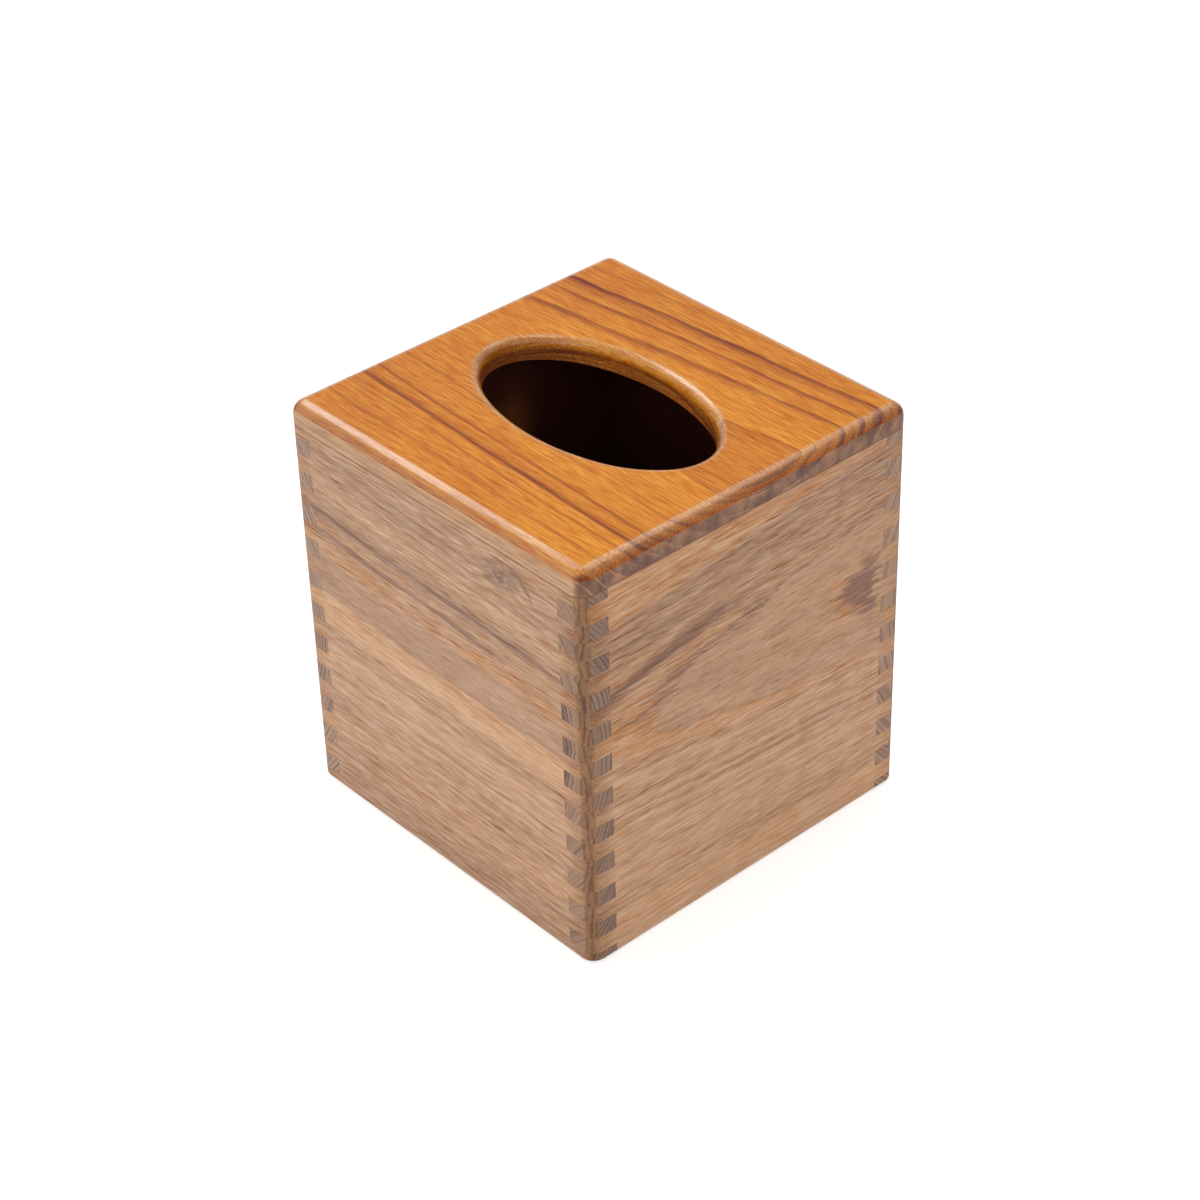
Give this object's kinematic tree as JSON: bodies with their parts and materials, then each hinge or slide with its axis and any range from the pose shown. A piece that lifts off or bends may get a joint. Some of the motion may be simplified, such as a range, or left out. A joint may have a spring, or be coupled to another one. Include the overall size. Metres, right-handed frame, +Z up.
{
  "type": "tissue box cover",
  "caption": "Square wooden cover for a cube of tissues, open below, with finger-jointed corners, a rounded top edge and an oval opening with a rolled rim.",
  "frame": {"origin": "centre of the square foot, on the surface that the cover stands on", "axes": "+Z up through the opening; +X along the oval's long axis and the grain of the top; -Y towards the front wall"},
  "size_m": [0.1334, 0.1334, 0.143],
  "materials": {
    "side_wood": "satin varnish on brown open-pored hardwood",
    "top_wood": "satin varnish on golden-orange hardwood"
  },
  "bodies": {
    "root": {"front_wall": "side_wood", "back_wall": "side_wood", "left_wall": "side_wood", "right_wall": "side_wood", "top_panel": "top_wood"}
  },
  "joints": []
}
